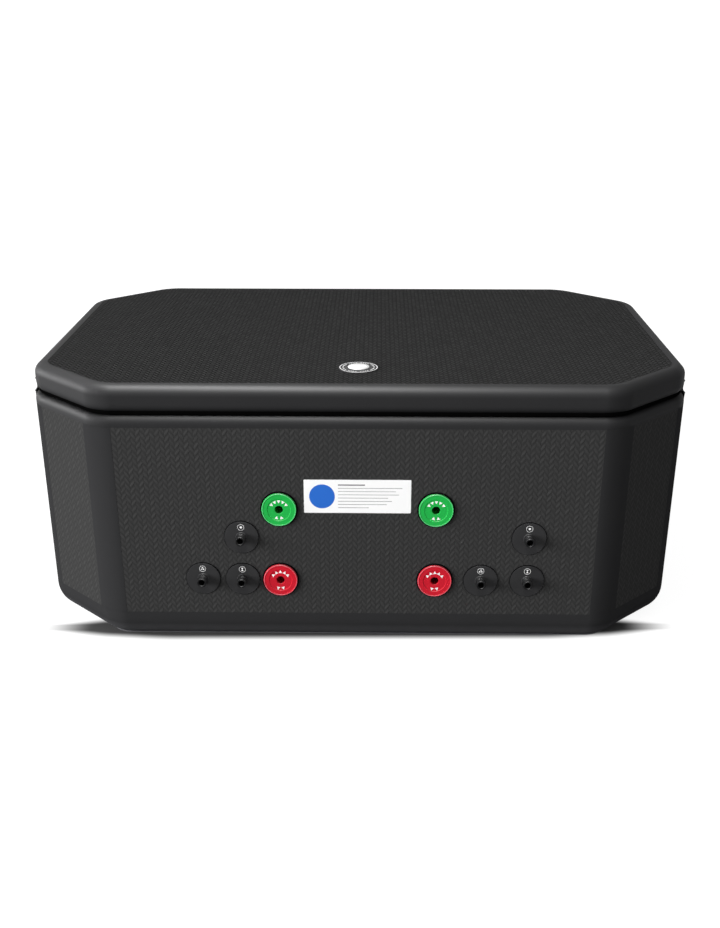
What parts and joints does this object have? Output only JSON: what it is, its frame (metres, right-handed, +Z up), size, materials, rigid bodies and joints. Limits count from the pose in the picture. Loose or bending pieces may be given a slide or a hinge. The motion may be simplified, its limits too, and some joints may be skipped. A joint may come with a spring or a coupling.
{
  "type": "inflatable cold plunge tub",
  "caption": "Eight-sided inflatable bath with thick drop-stitch walls, an inflatable lid, coloured water ports, hose spigots and lid straps.",
  "frame": {"origin": "on the ground under the middle of the tub's plan", "axes": "+X along the tub's length to the right as seen from the ported side, which faces -Y, and +Z up"},
  "size_m": [1.6152, 1.1374, 0.6574],
  "materials": {
    "drop_stitch_skin": "woven PVC skin, matt charcoal grey",
    "floor_skin": "PVC sheet, matt dark grey",
    "green_plastic": "moulded, satin",
    "red_plastic": "moulded, satin",
    "black_plastic": "moulded, satin",
    "dark_plastic": "moulded, matt",
    "white_plastic": "moulded, matt",
    "grey_plastic": "moulded, matt",
    "valve_spring": "stainless wire",
    "strap_webbing": "woven black webbing"
  },
  "bodies": {
    "tub": {"wall_chamber": "drop_stitch_skin", "floor_chamber": "floor_skin", "inlet_ports": "green_plastic", "outlet_ports": "red_plastic", "port_nuts": "dark_plastic", "outlet_strainers": "dark_plastic", "spigots": "black_plastic", "loop_patch_front_left": "strap_webbing", "loop_patch_front_right": "strap_webbing", "loop_patch_back_left": "strap_webbing", "loop_patch_back_right": "strap_webbing"},
    "lid": {"lid_chamber": "drop_stitch_skin", "lid_valve_well": "grey_plastic", "lid_valve_spring": "valve_spring", "strap_hem_front_left": "strap_webbing", "strap_hem_front_right": "strap_webbing", "strap_hem_back_left": "strap_webbing", "strap_hem_back_right": "strap_webbing"},
    "lid_valve_pin": {"lid_valve_pin": "grey_plastic"},
    "lid_valve_cap": {"lid_valve_cap": "white_plastic"},
    "wall_valve_cap": {"wall_valve_cap": "white_plastic"},
    "strap_front_left": {"strap_front_left": "strap_webbing"},
    "strap_front_right": {"strap_front_right": "strap_webbing"},
    "strap_back_left": {"strap_back_left": "strap_webbing"},
    "strap_back_right": {"strap_back_right": "strap_webbing"}
  },
  "joints": [
    {"name": "lid_lift", "type": "slide", "parent": "tub", "child": "lid", "axis": [0, 0, 1], "range_m": [0, 0.7]},
    {"name": "lid_valve_cap_lift", "type": "slide", "parent": "lid", "child": "lid_valve_cap", "axis": [0, 0, 1], "range_m": [0, 0.04]},
    {"name": "lid_valve_push", "type": "slide", "parent": "lid", "child": "lid_valve_pin", "axis": [0, 0, -1], "range_m": [0, 0.006], "stiffness_N_per_m": 300, "springref_m": -0.002, "deforming": ["lid_valve_spring"]},
    {"name": "wall_valve_cap_pull", "type": "slide", "parent": "tub", "child": "wall_valve_cap", "axis": [0, 1, 0], "range_m": [0, 0.04]},
    {"name": "strap_front_left_open", "type": "hinge", "parent": "lid", "child": "strap_front_left", "pos_m": [-0.7988, -0.3, 0.6044], "axis": [0, 1, 0], "range_deg": [0, 150]},
    {"name": "strap_front_right_open", "type": "hinge", "parent": "lid", "child": "strap_front_right", "pos_m": [0.7988, -0.3, 0.6044], "axis": [0, -1, 0], "range_deg": [0, 150]},
    {"name": "strap_back_left_open", "type": "hinge", "parent": "lid", "child": "strap_back_left", "pos_m": [-0.7988, 0.3, 0.6044], "axis": [0, 1, 0], "range_deg": [0, 150]},
    {"name": "strap_back_right_open", "type": "hinge", "parent": "lid", "child": "strap_back_right", "pos_m": [0.7988, 0.3, 0.6044], "axis": [0, -1, 0], "range_deg": [0, 150]}
  ]
}
